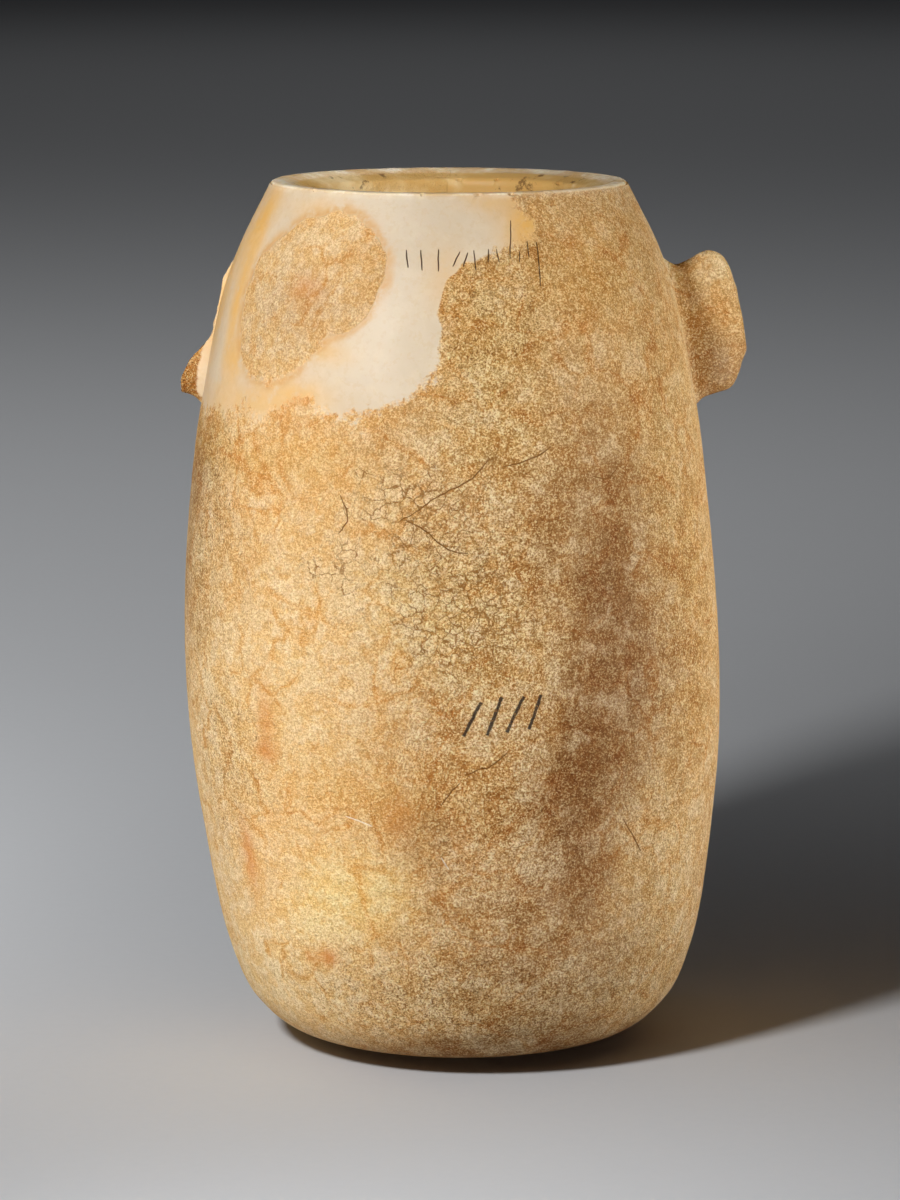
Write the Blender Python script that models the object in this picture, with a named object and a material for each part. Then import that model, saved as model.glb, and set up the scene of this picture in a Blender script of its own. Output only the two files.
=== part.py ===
"""Alabastron: a hollow stone jar with a wide mouth and two ear lugs, carved from one block.

Blender 4.5.  Metres, +Z up.  The origin is the centre of the flat underside.
The front, with its row of cuts, faces -Y.  The whole ear is at +X, the broken one at -X.
"""

import math

import bmesh
import bpy
from mathutils import Matrix, Vector
from mathutils.geometry import interpolate_bezier

MM = 0.001

# ---------------------------------------------------------------- driving dimensions

HEIGHT = 282 * MM
SIDES = 72                    # facets around the turned body
BEND_STEP = math.radians(3.5)  # a turned curve gets a new ring at least this often

# The outside as (radius, height), from the small flat foot up to the rim.
OUTSIDE = [
    (21, 0), (34, 2), (57, 6.3), (68.7, 16), (74.6, 28), (79.0, 44), (82.9, 68), (86.2, 96),
    (87.4, 124), (86.5, 152), (84.2, 180), (80.9, 207), (74.0, 243), (67.8, 261), (57.9, 281),
]
RIM_RADIUS = 57.4 * MM
RIM_ROUND = 1.3 * MM          # worn outer edge of the rim
RIM_ARC = (10, 40, 65, 90)    # degrees up that edge, one ring at each
LAND_WIDTH = 2.6 * MM         # level land on top of the rim
LIP_DROP = 3.3 * MM           # the lip falls this far from the land to the mouth's edge
MOUTH_RADIUS = 44.6 * MM
THROAT_DEPTH = 13 * MM        # the drilled throat goes straight down to this depth

WALL = 13 * MM
SHOULDER_DEPTH = 45 * MM      # by this depth the hollow has widened to its full wall
FLOOR = 26 * MM
FLOOR_CORNER = 26 * MM        # rounds the hollow from its wall to its floor
CORNER_RINGS = 5
HOLLOW_RINGS = 6

LEAN = -4.3 * MM              # the hand-cut axis drifts this far in X
LEAN_HEIGHT = 192 * MM        # height at which the drift is complete

# An ear as slices (out of the wall, lowest height, highest height, thickness).
EAR_SLICES = [
    (-5, 206, 260, 17), (-1.5, 207.9, 258.2, 16), (0, 209, 256.6, 15), (2, 210.7, 255, 14.2),
    (4, 211.7, 254.8, 13.6), (8, 212.9, 256.2, 13), (12, 214.4, 258.2, 12.6), (15, 218.4, 259.1, 12.6),
    (17, 222.5, 258.9, 12), (18.5, 225.4, 258.1, 10.6), (19.4, 228.5, 257.1, 8.4),
    (19.9, 238, 255.6, 5.6), (20.3, 247, 253.8, 2.4),
]
EAR_RING = 24                 # points around one slice
EAR_SQUARENESS = 3.2          # 2 is an ellipse, more is squarer
# The break that took most of the left ear, as (out of the wall, height) down its face.
BREAK_LINE = [
    (-1, 264), (0.3, 254), (0.9, 249), (0.2, 244), (0.2, 234), (1.4, 229.5), (4.2, 226),
    (6.4, 221.6), (7.7, 217.6), (6.9, 213.2), (5, 209),
]
BREAK_REACH = 40
RIGHT_EAR_TURN = 2.0          # degrees towards the back, seen from above
LEFT_EAR_TURN = 4.0

# Plain cuts in a row, where the jar bears an inscription: along from the front, up, lean in
# degrees and length.
CUT_ROW = [
    (-13, -0.6, -12, 5.4), (-8.5, -1, -8, 6.2), (-3.2, -1, -2, 6.6), (2.4, -0.6, 28, 5),
    (5.2, -0.8, 22, 4.6), (8.2, -1, -4, 6), (12.4, 0.3, 6, 4), (15.4, 0.3, -6, 4),
    (19.6, 5, 10, 11.5), (22.6, -0.2, 12, 3.5), (25.4, 2, 4, 5), (29, -2.6, 6, 13.5),
]
CUT_ROW_HEIGHT = 263 * MM
CUT_DEPTH = 0.6 * MM
CUT_TOOL_RADIUS = 1.2 * MM

MERGE = 0.01 * MM
SHARP_ANGLE = math.radians(35)

STONE_COLOUR = (0.62, 0.43, 0.22, 1.0)
STONE_ROUGHNESS = 0.55


# ---------------------------------------------------------------- curves

def tangents_of(knots):
    """The direction of a smooth curve at each knot, taken from its neighbours."""
    last = len(knots) - 1
    return [(knots[min(i + 1, last)] - knots[max(i - 1, 0)]).normalized() for i in range(last + 1)]


def turned_curve(points):
    """A Bezier curve through (radius, height) points, with more rings where it bends more."""
    knots = [Vector((radius * MM, height * MM)) for radius, height in points]
    tangents = tangents_of(knots)
    path = [knots[0]]
    for i in range(len(knots) - 1):
        start, end = knots[i], knots[i + 1]
        reach = (end - start).length / 3
        steps = max(1, math.ceil(tangents[i].angle(tangents[i + 1]) / BEND_STEP))
        handles = start + tangents[i] * reach, end - tangents[i + 1] * reach
        path += interpolate_bezier(start, *handles, end, steps + 1)[1:]
    return path


OUTER_PATH = turned_curve(OUTSIDE)


def outer_radius(height):
    """Radius of the outside at a height, read from the turned curve."""
    for low, high in zip(OUTER_PATH, OUTER_PATH[1:]):
        if low.y <= height <= high.y:
            return low.x + (high.x - low.x) * (height - low.y) / (high.y - low.y)
    return RIM_RADIUS


def lean_at(height):
    """Sideways drift of the jar's axis at a height."""
    t = min(max(height / LEAN_HEIGHT, 0), 1)
    return LEAN * t * t * (3 - 2 * t)


# ---------------------------------------------------------------- objects

def clear_scene():
    for thing in list(bpy.data.objects):
        bpy.data.objects.remove(thing, do_unlink=True)


def stone():
    material = bpy.data.materials.new("weathered_alabaster")
    material.use_nodes = True
    shader = material.node_tree.nodes["Principled BSDF"]
    shader.inputs["Base Color"].default_value = STONE_COLOUR
    shader.inputs["Roughness"].default_value = STONE_ROUGHNESS
    shader.inputs["Metallic"].default_value = 0.0
    return material


def mesh_object(name, bm):
    bmesh.ops.recalc_face_normals(bm, faces=bm.faces)
    mesh = bpy.data.meshes.new(name)
    bm.to_mesh(mesh)
    bm.free()
    thing = bpy.data.objects.new(name, mesh)
    bpy.context.collection.objects.link(thing)
    return thing


def combine(target, tool, operation):
    """Joins a tool to the target or cuts it away, and keeps the result as the target's mesh."""
    modifier = target.modifiers.new(tool.name, "BOOLEAN")
    modifier.operation = operation
    modifier.solver = "EXACT"
    modifier.object = tool
    graph = bpy.context.evaluated_depsgraph_get()
    result = bpy.data.meshes.new_from_object(target.evaluated_get(graph))
    target.modifiers.remove(modifier)
    target.data = result
    bpy.data.objects.remove(tool, do_unlink=True)


# ---------------------------------------------------------------- turned body

def rim_section():
    """Round outer edge, level land, sloping lip and straight throat, as (radius, height)."""
    centre = Vector((RIM_RADIUS - RIM_ROUND, HEIGHT - RIM_ROUND))
    angles = [math.radians(degrees) for degrees in RIM_ARC]
    section = [centre + RIM_ROUND * Vector((math.cos(a), math.sin(a))) for a in angles]
    section.append(Vector((centre.x - LAND_WIDTH, HEIGHT)))
    section.append(Vector((MOUTH_RADIUS, HEIGHT - LIP_DROP)))
    section.append(Vector((MOUTH_RADIUS, HEIGHT - THROAT_DEPTH)))
    return section


def hollow_radius(height):
    """The hollow follows the outside one wall in, and narrows to the throat at the top."""
    depth = HEIGHT - height
    t = min((depth - THROAT_DEPTH) / (SHOULDER_DEPTH - THROAT_DEPTH), 1)
    return MOUTH_RADIUS + (outer_radius(height) - WALL - MOUTH_RADIUS) * t


def hollow_section():
    """Inside wall from the throat down, then the rounded floor, as (radius, height)."""
    top = HEIGHT - THROAT_DEPTH
    middle = HEIGHT - SHOULDER_DEPTH
    low = FLOOR + FLOOR_CORNER
    heights = [(top + middle) / 2]
    heights += [middle + (low - middle) * i / HOLLOW_RINGS for i in range(HOLLOW_RINGS)]
    section = [Vector((hollow_radius(height), height)) for height in heights]
    centre = Vector((hollow_radius(low) - FLOOR_CORNER, low))
    for i in range(CORNER_RINGS + 1):
        a = math.pi / 2 * i / CORNER_RINGS
        section.append(centre + FLOOR_CORNER * Vector((math.cos(a), -math.sin(a))))
    return section


def turned_body():
    """Spins the wall's section about the axis, closes both floors and adds the lean."""
    bm = bmesh.new()
    section = OUTER_PATH + rim_section() + hollow_section()
    verts = [bm.verts.new((point.x, 0, point.y)) for point in section]
    edges = [bm.edges.new(pair) for pair in zip(verts, verts[1:])]
    bmesh.ops.spin(
        bm, geom=verts + edges, axis=(0, 0, 1), cent=(0, 0, 0),
        angle=math.tau, steps=SIDES, use_merge=True,
    )
    bmesh.ops.remove_doubles(bm, verts=bm.verts, dist=MERGE)
    bmesh.ops.holes_fill(bm, edges=[edge for edge in bm.edges if edge.is_boundary], sides=SIDES)
    for vert in bm.verts:
        vert.co.x += lean_at(vert.co.z)
    return bm


# ---------------------------------------------------------------- ears

def ear():
    """One whole ear, lofted through its slices.  X is out of the wall and Z is up."""
    bm = bmesh.new()
    rings = []
    for out, low, high, thickness in EAR_SLICES:
        circle = bmesh.ops.create_circle(bm, radius=1, segments=EAR_RING)["verts"]
        for vert in circle:
            radius = (abs(vert.co.x) ** EAR_SQUARENESS + abs(vert.co.y) ** EAR_SQUARENESS)
            radius **= -1 / EAR_SQUARENESS
            up = (low + high) / 2 + (high - low) / 2 * vert.co.y * radius
            vert.co = Vector((out, thickness / 2 * vert.co.x * radius, up)) * MM
        rings.append(circle)
    for near, far in zip(rings, rings[1:]):
        loops = [edge for edge in bm.edges if all(v in near or v in far for v in edge.verts)]
        bmesh.ops.bridge_loops(bm, edges=loops)
    for end in rings[0], rings[-1]:
        bmesh.ops.contextual_create(bm, geom=end)
    return bm


def break_tool():
    """What the break took away: everything outside the break line, right across the ear."""
    bm = bmesh.new()
    line = BREAK_LINE + [(BREAK_REACH, BREAK_LINE[-1][1]), (BREAK_REACH, BREAK_LINE[0][1])]
    verts = [bm.verts.new((out * MM, -BREAK_REACH * MM, up * MM)) for out, up in line]
    pulled = bmesh.ops.extrude_face_region(bm, geom=[bm.faces.new(verts)])["geom"]
    moved = [item for item in pulled if isinstance(item, bmesh.types.BMVert)]
    bmesh.ops.translate(bm, vec=(0, 2 * BREAK_REACH * MM, 0), verts=moved)
    return bm


def set_on_wall(thing, side, turn):
    """Turns each vertex's (out, across, up) into its place on the jar's wall."""
    bm = bmesh.new()
    bm.from_mesh(thing.data)
    angle = math.radians(turn)
    for vert in bm.verts:
        out, across, up = vert.co
        radius = outer_radius(up) + out
        x = radius * math.cos(angle) - across * math.sin(angle)
        y = radius * math.sin(angle) + across * math.cos(angle)
        vert.co = (side * x + lean_at(up), y, up)
    bmesh.ops.triangulate(bm, faces=bm.faces)
    bmesh.ops.recalc_face_normals(bm, faces=bm.faces)
    bm.to_mesh(thing.data)
    bm.free()


# ---------------------------------------------------------------- row of cuts

def cut_tool(along, rise, lean, length):
    """A three-sided wedge that lies along one stroke with its edge below the surface."""
    height = CUT_ROW_HEIGHT + rise * MM
    span = length * MM / 2
    slope = math.atan2(outer_radius(height - span) - outer_radius(height + span), 2 * span)
    bm = bmesh.new()
    wedge = bmesh.ops.create_cone(
        bm, cap_ends=True, segments=3, radius1=CUT_TOOL_RADIUS, radius2=CUT_TOOL_RADIUS,
        depth=2 * span,
    )["verts"]
    place = (
        Matrix.Translation((lean_at(height), 0, height))
        @ Matrix.Rotation(along * MM / outer_radius(height), 4, "Z")
        @ Matrix.Translation((0, -outer_radius(height), 0))
        @ Matrix.Rotation(-slope, 4, "X")
        @ Matrix.Rotation(math.radians(lean), 4, "Y")
        @ Matrix.Translation((0, CUT_DEPTH - CUT_TOOL_RADIUS, 0))
    )
    bmesh.ops.transform(bm, matrix=place, verts=wedge)
    return bm


# ---------------------------------------------------------------- assembly

def main():
    clear_scene()
    jar = mesh_object("alabastron", turned_body())
    right_ear = mesh_object("right_ear", ear())
    left_ear = mesh_object("left_ear", ear())
    combine(left_ear, mesh_object("break", break_tool()), "DIFFERENCE")
    set_on_wall(right_ear, 1, RIGHT_EAR_TURN)
    set_on_wall(left_ear, -1, LEFT_EAR_TURN)
    combine(jar, right_ear, "UNION")
    combine(jar, left_ear, "UNION")
    for cut in CUT_ROW:
        combine(jar, mesh_object("cut", cut_tool(*cut)), "DIFFERENCE")
    jar.data.materials.clear()
    jar.data.materials.append(stone())
    jar.data.shade_smooth()
    jar.data.set_sharp_from_angle(angle=SHARP_ANGLE)


main()
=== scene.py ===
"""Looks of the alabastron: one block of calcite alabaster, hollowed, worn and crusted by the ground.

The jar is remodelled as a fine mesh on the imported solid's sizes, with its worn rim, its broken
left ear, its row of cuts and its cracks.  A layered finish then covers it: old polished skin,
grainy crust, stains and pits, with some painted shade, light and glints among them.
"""

import math

import bmesh
import bpy
import numpy as np
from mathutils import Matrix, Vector, noise
from mathutils.geometry import interpolate_bezier
from mathutils.kdtree import KDTree


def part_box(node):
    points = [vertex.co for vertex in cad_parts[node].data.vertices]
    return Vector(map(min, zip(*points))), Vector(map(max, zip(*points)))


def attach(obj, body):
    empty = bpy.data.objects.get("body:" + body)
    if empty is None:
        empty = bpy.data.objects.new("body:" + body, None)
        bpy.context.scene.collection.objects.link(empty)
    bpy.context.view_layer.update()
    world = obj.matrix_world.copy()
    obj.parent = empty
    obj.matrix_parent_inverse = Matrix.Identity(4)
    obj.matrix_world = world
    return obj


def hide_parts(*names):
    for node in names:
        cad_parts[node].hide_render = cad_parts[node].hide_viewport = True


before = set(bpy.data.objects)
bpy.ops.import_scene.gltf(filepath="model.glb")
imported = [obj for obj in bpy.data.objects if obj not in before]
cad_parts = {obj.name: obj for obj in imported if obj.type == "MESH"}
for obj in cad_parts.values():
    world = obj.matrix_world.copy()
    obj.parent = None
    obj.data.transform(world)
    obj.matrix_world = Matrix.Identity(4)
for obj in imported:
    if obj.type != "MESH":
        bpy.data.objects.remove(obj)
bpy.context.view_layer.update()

LOW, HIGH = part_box("alabastron")
MM = 0.001
HEIGHT = HIGH.z - LOW.z

# ------------------------ sizes of the turned body

# The outside as (radius, height) in millimetres, from the flat ground foot up to the rim.
OUTSIDE = [
    (21, 0), (34, 2), (57, 6.3), (68.7, 16), (74.6, 28), (79, 44), (82.9, 68), (86.2, 96), (87.4, 124),
    (86.5, 152), (84.2, 180), (80.9, 207), (74, 243), (67.8, 261), (57.9, 281),
]
RIM_RADIUS = 57.4 * MM
RIM_ROUND = 1.3 * MM
LAND_WIDTH = 2.6 * MM
LIP_DROP = 3.3 * MM
LIP_EDGE = 0.6 * MM           # width of the worn slope where the lip turns into the throat
LIP_EDGE_UP = 0.25 * MM
LIP_EDGE_DOWN = 0.5 * MM
MOUTH_RADIUS = 44.6 * MM
THROAT_DEPTH = 13 * MM
WALL = 13 * MM
SHOULDER_DEPTH = 45 * MM
FLOOR = 26 * MM
FLOOR_CORNER = 26 * MM
LEAN = -4.3 * MM              # the hand-cut axis drifts this far in X
LEAN_HEIGHT = 192 * MM

SIDES = 264                   # facets around the body
RING_STEP = 1.55 * MM         # between rings outside
LAND_STEP = 1.3 * MM
LIP_STEP = 1.6 * MM
THROAT_STEP = 2 * MM
HOLLOW_STEP = 5 * MM
FLAT_STEP = 1.4 * HOLLOW_STEP  # between rings on the floor inside and on the foot
RIM_ROUND_FACETS = 6
FLOOR_CORNER_FACETS = 9
MERGE = 0.01 * MM             # points closer than this are one

# ------------------------ sizes of the ears

# An ear as slices (out of the wall, lowest height, highest height, thickness) in millimetres.
EAR_SLICES = [
    (-5, 206, 260, 17), (-1.5, 207.9, 258.2, 16), (0, 209, 256.6, 15), (2, 210.7, 255, 14.2),
    (4, 211.7, 254.8, 13.6), (8, 212.9, 256.2, 13), (12, 214.4, 258.2, 12.6), (15, 218.4, 259.1, 12.6),
    (17, 222.5, 258.9, 12), (18.5, 225.4, 258.1, 10.6), (19.4, 228.5, 257.1, 8.4),
    (19.9, 238, 255.6, 5.6), (20.3, 247, 253.8, 2.4),
]
EAR_RING = 80
EAR_STEPS = 3                 # slices lofted between two given ones
EAR_SQUARENESS = 3.2
# The break that took most of the left ear, as (out of the wall, height) down its face.
BREAK_LINE = [
    (-1, 264), (0.3, 254), (0.9, 249), (0.2, 244), (0.2, 234), (1.4, 229.5), (4.2, 226), (6.4, 221.6),
    (7.7, 217.6), (6.9, 213.2), (5, 209),
]
BREAK_REACH = 40              # how far its tool reaches, outwards and to either side
BREAK_STEP = 1.2              # between points down the face
BREAK_CUTS = 44               # cuts across the face
BREAK_ROUGHNESS = 0.45
BREAK_LUMP = 6                # size of the face's unevenness
BREAK_GRIT = 1.7
RIGHT_EAR_TURN = 2.0          # degrees towards the back, seen from above
LEFT_EAR_TURN = 4.0

# ------------------------ sizes of the scratched marks

# Plain cuts in a row, where the jar bears an inscription: along from the front, up, lean in
# degrees and length.
CUT_ROW = [
    (-13, -0.6, -12, 5.4), (-8.5, -1, -8, 6.2), (-3.2, -1, -2, 6.6), (2.4, -0.6, 28, 5),
    (5.2, -0.8, 22, 4.6), (8.2, -1, -4, 6), (12.4, 0.3, 6, 4), (15.4, 0.3, -6, 4),
    (19.6, 5, 10, 11.5), (22.6, -0.2, 12, 3.5), (25.4, 2, 4, 5), (29, -2.6, 6, 13.5),
]
CUT_ROW_HEIGHT = 263
CUT_DEPTH = 0.5
CUT_WIDTH = 0.62
CUT_WOBBLE = 0.16

# Cracks as paths of (degrees round from the front, height in millimetres).
CRACKS = [
    [(-10, 183), (-6, 186.5), (-3, 190), (2, 193.5), (5, 196), (9, 202)],
    [(-9, 183), (-5, 180), (-2, 176), (1, 173.5), (4, 173)],
    [(12, 199.5), (16, 200.5), (21, 203), (23, 205)],
    [(2, 103.5), (5, 105.5), (7, 106), (11, 110.5)],
    [(-3, 94), (-1, 98), (1, 101)],
    [(38, 86), (41, 80), (44, 74)],
    [(33, 195), (37, 194), (40, 197)],
    [(-24, 190), (-22, 183), (-24, 178)],
    [(96, 228), (99, 212), (97, 198), (103, 183)],
    [(168, 152), (174, 145), (186, 143), (195, 133)],
    [(-140, 98), (-134, 104), (-126, 105)],
]
CRACK_DEPTH = 0.3
CRACK_WIDTH = 0.55
CRACK_WOBBLE = 0.3
# Fresh pale scratches, given like the cracks.
SCRATCHES = [
    [(-24, 89), (-21.5, 88), (-18, 86.3)],
    [(-3.5, 77), (-2, 73)],
    [(150, 202), (156, 206)],
]
SCRATCH_DEPTH = 0.18
SCRATCH_WIDTH = 0.7
GROOVE_STEP = 0.9             # between stations along a groove
GROOVE_CLEAR = 0.5            # a groove's tool stands this far out of the surface
GROOVE_END = 0.6              # share of its size that a groove keeps at its ends
GROOVE_TAPER = 5              # it narrows at each end over its length divided by this
GROOVE_UNEVEN = 0.25
DEGREE = math.radians(1)

# ------------------------ wear

SEED = 22
OUTER_CHIPS = 12
MOUTH_CHIPS = 12
CHIP_SIZES = (0.7, 2.0)       # least and greatest radius
CHIP_STAND_OFF = (0.45, 0.75)  # how far off the edge a chip's centre is, in its own radii
CHIP_GAP = 1.5                # least distance between chips, in their two radii
CHIP_UNEVEN = 0.5
CHIP_LUMP = 1.3               # size of a chip's unevenness
WAVE = 0.25                   # depth of the hand-cut unevenness, inwards
CRUST_STEP = 0.25             # the polished skin lies this much lower than the crust
CRUST_RELIEF = 0.25
LIP_WAVE = 0.12
EAR_RELIEF = 0.35
HOLLOW_WAVE = 0.5
FOOT_FADE = (1 * MM, 9 * MM)  # the foot stays flat, and wear comes in over these heights
LIP_FADE = (2 * MM, 40 * MM)  # keeps the lip's wear off the underside


# ------------------------ curves

def smooth_curve(points, step):
    """A Bezier curve through 2-D points, sampled about every step."""
    knots = [Vector(point) for point in points]
    last = len(knots) - 1
    ways = [(knots[min(i + 1, last)] - knots[max(i - 1, 0)]).normalized() for i in range(last + 1)]
    path = [knots[0]]
    for i in range(last):
        start, end = knots[i], knots[i + 1]
        reach = (end - start).length / 3
        handles = start + ways[i] * reach, end - ways[i + 1] * reach
        count = max(1, math.ceil((end - start).length / step))
        path += interpolate_bezier(start, *handles, end, count + 1)[1:]
    return path


OUTER_PATH = smooth_curve([(radius * MM, height * MM) for radius, height in OUTSIDE], RING_STEP)
OUTER_RADII = np.array([point.x for point in OUTER_PATH])
OUTER_HEIGHTS = np.array([point.y for point in OUTER_PATH])


def outer_radius(height):
    """Radius of the outside at a height, or at an array of heights."""
    return np.interp(height, OUTER_HEIGHTS, OUTER_RADII, right=RIM_RADIUS)


def lean_at(height):
    """Sideways drift of the jar's axis at a height, or at an array of heights."""
    t = np.clip(height / LEAN_HEIGHT, 0, 1)
    return LEAN * t * t * (3 - 2 * t)


def on_wall(round_angle, height):
    """The point of the outside at an angle from the front and a height, and its normal."""
    radius = float(outer_radius(height))
    rise = 1 * MM
    slope = float(outer_radius(height - rise) - outer_radius(height + rise)) / (2 * rise)
    way = Vector((math.sin(round_angle), -math.cos(round_angle), 0))
    point = way * radius + Vector((float(lean_at(height)), 0, height))
    return point, (way + Vector((0, 0, slope))).normalized()


# ------------------------ mesh helpers

def mesh_object(name, bm):
    """Makes an object of a bmesh, with its faces pointing outwards."""
    bmesh.ops.recalc_face_normals(bm, faces=bm.faces)
    mesh = bpy.data.meshes.new(name)
    bm.to_mesh(mesh)
    bm.free()
    thing = bpy.data.objects.new(name, mesh)
    bpy.context.collection.objects.link(thing)
    return thing


def combine(target, tool, operation):
    """Joins a tool to the target or cuts it away, and keeps the result as the target's mesh."""
    modifier = target.modifiers.new(tool.name, "BOOLEAN")
    modifier.operation = operation
    modifier.solver = "EXACT"
    modifier.object = tool
    graph = bpy.context.evaluated_depsgraph_get()
    result = bpy.data.meshes.new_from_object(target.evaluated_get(graph))
    if not result.vertices:
        raise RuntimeError(f"{tool.name} left nothing of {target.name}")
    target.modifiers.remove(modifier)
    target.data = result
    bpy.data.objects.remove(tool, do_unlink=True)


# ------------------------ turned body

def line(start, end, step):
    """Points from start to end, without start, about a step apart."""
    count = max(1, round((Vector(end) - Vector(start)).length / step))
    return [Vector(start).lerp(Vector(end), (i + 1) / count) for i in range(count)]


def arc(centre, radius, first, last, count):
    """Points of an arc between two angles in degrees, both ends included."""
    angles = [math.radians(first + (last - first) * i / count) for i in range(count + 1)]
    return [Vector(centre) + radius * Vector((math.cos(a), math.sin(a))) for a in angles]


def rim_section():
    """Round outer edge, level land, sloping lip and straight throat, as (radius, height)."""
    edge = (RIM_RADIUS - RIM_ROUND, HEIGHT - RIM_ROUND)
    section = arc(edge, RIM_ROUND, 5, 90, RIM_ROUND_FACETS)
    section += line(section[-1], (edge[0] - LAND_WIDTH, HEIGHT), LAND_STEP)
    lip_foot = (MOUTH_RADIUS + LIP_EDGE, HEIGHT - LIP_DROP + LIP_EDGE_UP)
    section += line(section[-1], lip_foot, LIP_STEP)
    section.append(Vector((MOUTH_RADIUS, HEIGHT - LIP_DROP - LIP_EDGE_DOWN)))
    section += line(section[-1], (MOUTH_RADIUS, HEIGHT - THROAT_DEPTH), THROAT_STEP)
    return section


def hollow_radius(height):
    """The hollow follows the outside one wall in, and narrows to the throat at the top."""
    t = min((HEIGHT - height - THROAT_DEPTH) / (SHOULDER_DEPTH - THROAT_DEPTH), 1)
    return MOUTH_RADIUS + (float(outer_radius(height)) - WALL - MOUTH_RADIUS) * t


def hollow_section():
    """Inside wall from the throat down, then the rounded floor in to the axis."""
    low = FLOOR + FLOOR_CORNER
    heights = [point.y for point in line((0, HEIGHT - THROAT_DEPTH), (0, low), HOLLOW_STEP)]
    section = [Vector((hollow_radius(height), height)) for height in heights]
    corner = (hollow_radius(low) - FLOOR_CORNER, low)
    section += arc(corner, FLOOR_CORNER, 0, -90, FLOOR_CORNER_FACETS)[1:]
    return section + line(section[-1], (0, FLOOR), FLAT_STEP)


def turned_body():
    """Spins the wall's section about the axis and adds the lean."""
    bm = bmesh.new()
    foot = line((0, 0), OUTER_PATH[0], FLAT_STEP)[:-1]
    section = [Vector((0, 0))] + foot + OUTER_PATH + rim_section() + hollow_section()
    verts = [bm.verts.new((point.x, 0, point.y)) for point in section]
    edges = [bm.edges.new(pair) for pair in zip(verts, verts[1:])]
    bmesh.ops.spin(
        bm, geom=verts + edges, axis=(0, 0, 1), cent=(0, 0, 0),
        angle=math.tau, steps=SIDES, use_merge=True,
    )
    bmesh.ops.remove_doubles(bm, verts=bm.verts, dist=MERGE)
    for vert in bm.verts:
        vert.co.x += float(lean_at(vert.co.z))
    return bm


# ------------------------ ears

def lofted(slices, steps):
    """The given slices, with more of them eased in between."""
    rows = np.array(slices, float)
    ways = np.gradient(rows, axis=0)
    made = [rows[0]]
    for i in range(len(rows) - 1):
        for j in range(1, steps + 1):
            # Cubic weights of the two slices and of their slopes.
            t = j / steps
            a, b, c, d = 2 * t**3 - 3 * t**2 + 1, t**3 - 2 * t**2 + t, 3 * t**2 - 2 * t**3, t**3 - t**2
            made.append(a * rows[i] + b * ways[i] + c * rows[i + 1] + d * ways[i + 1])
    return made


def ear():
    """One whole ear, lofted through its slices.  X is out of the wall and Z is up."""
    bm = bmesh.new()
    rings = []
    for out, low, high, thickness in lofted(EAR_SLICES, EAR_STEPS):
        circle = bmesh.ops.create_circle(bm, radius=1, segments=EAR_RING)["verts"]
        for vert in circle:
            radius = (abs(vert.co.x) ** EAR_SQUARENESS + abs(vert.co.y) ** EAR_SQUARENESS)
            radius **= -1 / EAR_SQUARENESS
            up = (low + high) / 2 + (high - low) / 2 * vert.co.y * radius
            vert.co = Vector((out, thickness / 2 * vert.co.x * radius, up)) * MM
        rings.append(circle)
    for inner, outer in zip(rings, rings[1:]):
        ends = set(inner + outer)
        around = dict.fromkeys(edge for vert in inner + outer for edge in vert.link_edges)
        loops = [edge for edge in around if all(vert in ends for vert in edge.verts)]
        bmesh.ops.bridge_loops(bm, edges=loops)
    for end in rings[0], rings[-1]:
        bmesh.ops.contextual_create(bm, geom=end)
    return bm


def break_tool():
    """What the break took away, right across the ear, with a rough face."""
    bm = bmesh.new()
    reach = BREAK_REACH * MM
    face = smooth_curve(BREAK_LINE, BREAK_STEP)
    outside = [Vector((BREAK_REACH, BREAK_LINE[-1][1])), Vector((BREAK_REACH, BREAK_LINE[0][1]))]
    verts = [bm.verts.new((out * MM, -reach, up * MM)) for out, up in face + outside]
    cap = bm.faces.new(verts)
    pulled = bmesh.ops.extrude_face_region(bm, geom=[cap])["geom"]
    moved = [item for item in pulled if isinstance(item, bmesh.types.BMVert)]
    bmesh.ops.translate(bm, vec=(0, 2 * reach, 0), verts=moved)
    across = [edge for edge in bm.edges if abs(edge.verts[0].co.y - edge.verts[1].co.y) > reach]
    bmesh.ops.subdivide_edges(bm, edges=across, cuts=BREAK_CUTS, use_grid_fill=True)
    for vert in bm.verts:
        # Only the face is roughened, and the tool's outer sides and ends stay flat.
        if vert.co.x < 0.9 * reach and abs(vert.co.y) < 0.99 * reach:
            place = vert.co / MM
            rough = noise.fractal(place / BREAK_LUMP, 0.7, 2.1, 3) + 0.5 * noise.noise(place / BREAK_GRIT)
            vert.co.x += rough * BREAK_ROUGHNESS * MM
    return bm


def set_on_wall(thing, side, turn):
    """Turns each vertex's (out, across, up) into its place on the jar's wall."""
    bm = bmesh.new()
    bm.from_mesh(thing.data)
    angle = math.radians(turn)
    for vert in bm.verts:
        out, across, up = vert.co
        radius = float(outer_radius(up)) + out
        x = radius * math.cos(angle) - across * math.sin(angle)
        y = radius * math.sin(angle) + across * math.cos(angle)
        vert.co = (side * x + float(lean_at(up)), y, up)
    bmesh.ops.triangulate(bm, faces=bm.faces)
    bmesh.ops.recalc_face_normals(bm, faces=bm.faces)
    bm.to_mesh(thing.data)
    bm.free()


# ------------------------ grooves and chips

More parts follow.
